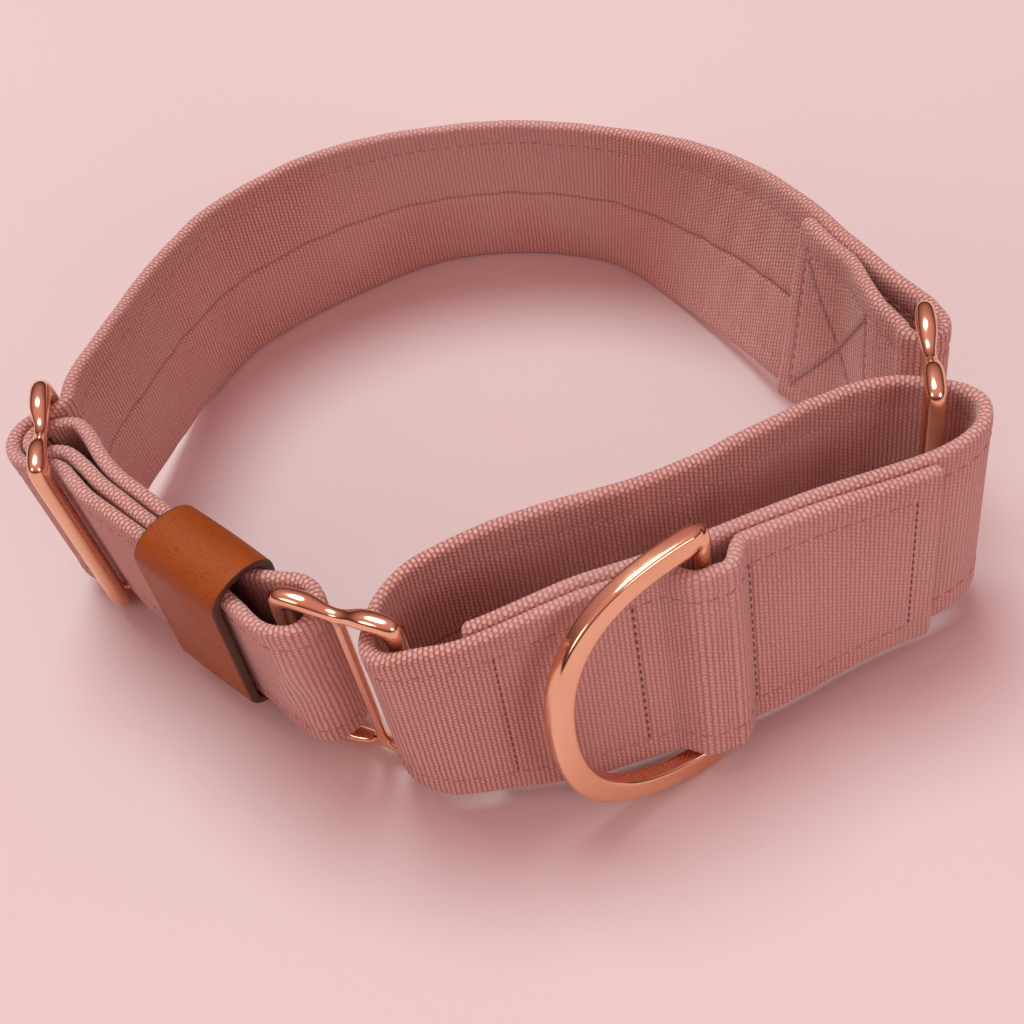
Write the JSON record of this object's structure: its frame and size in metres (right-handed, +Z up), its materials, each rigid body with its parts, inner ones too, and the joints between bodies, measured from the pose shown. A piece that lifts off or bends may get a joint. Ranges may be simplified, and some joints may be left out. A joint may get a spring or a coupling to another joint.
{
  "type": "martingale collar",
  "caption": "Canvas martingale collar: wide neck band joined by double-window metal sliders to a folded control loop with a D-ring in a sewn tunnel and a leather keeper.",
  "frame": {"origin": "centre of the collar's plan outline, on the surface it stands on", "axes": "+X toward the loop slider, -Y toward the D-ring and control loop, +Y toward the back of the neck band, +Z up across the strap width"},
  "size_m": [0.1414, 0.1326, 0.0483],
  "materials": {
    "canvas": "ribbed dusty rose cotton canvas, matte",
    "metal": "polished rose gold plating",
    "leather": "tan vegetable-tanned leather, darker burnished edge",
    "thread": "dark mauve sewing thread"
  },
  "bodies": {
    "neck": {"neck_band": "canvas", "band_end_seam": "thread", "band_fold_seam": "thread"},
    "tab": {"adjuster_strap": "canvas", "adjuster_slider": "metal"},
    "keeper": {"leather_keeper": "leather"},
    "middle": {"middle_slider": "metal"},
    "loop": {"loop_inner_layer": "canvas", "loop_wide_turn": "canvas", "loop_far_layer": "canvas", "loop_outer_layer": "canvas", "loop_left_seam": "thread", "tunnel_left_seam": "thread", "tunnel_right_seam": "thread", "patch_end_seam": "thread"},
    "loop_end": {"loop_slider": "metal"},
    "ring": {"d_ring": "metal"}
  },
  "joints": [
    {"name": "tab_draw", "type": "hinge", "parent": "neck", "child": "tab", "pos_m": [-0.05982, 0.0122, 0], "axis": [0, 0, 1], "range_deg": [-2, 8]},
    {"name": "middle_turn", "type": "hinge", "parent": "tab", "child": "middle", "pos_m": [-0.03098, -0.04314, 0], "axis": [0, 0, 1], "range_deg": [-6.5, 2]},
    {"name": "loop_turn", "type": "hinge", "parent": "middle", "child": "loop", "pos_m": [-0.01606, -0.05246, 0], "axis": [0, 0, 1], "range_deg": [-7.5, 2]},
    {"name": "loop_slider_turn", "type": "hinge", "parent": "neck", "child": "loop_end", "pos_m": [0.06623, -0.01698, 0], "axis": [0, 0, 1], "range_deg": [-3, 1]},
    {"name": "ring_swing", "type": "hinge", "parent": "loop", "child": "ring", "pos_m": [0.02568, -0.05365, 0.02415], "axis": [0, 0.0995, 0.995], "range_deg": [0, 140]},
    {"name": "keeper_slide", "type": "slide", "parent": "tab", "child": "keeper", "axis": [0.6401, -0.7683, 0], "range_m": [-0.005, 0.001]}
  ],
  "couplings": [
    {"joint": "middle_turn", "follows": "tab_draw", "ratio": -0.75},
    {"joint": "loop_turn", "follows": "tab_draw", "ratio": -0.9},
    {"joint": "loop_slider_turn", "follows": "tab_draw", "ratio": -0.3}
  ]
}
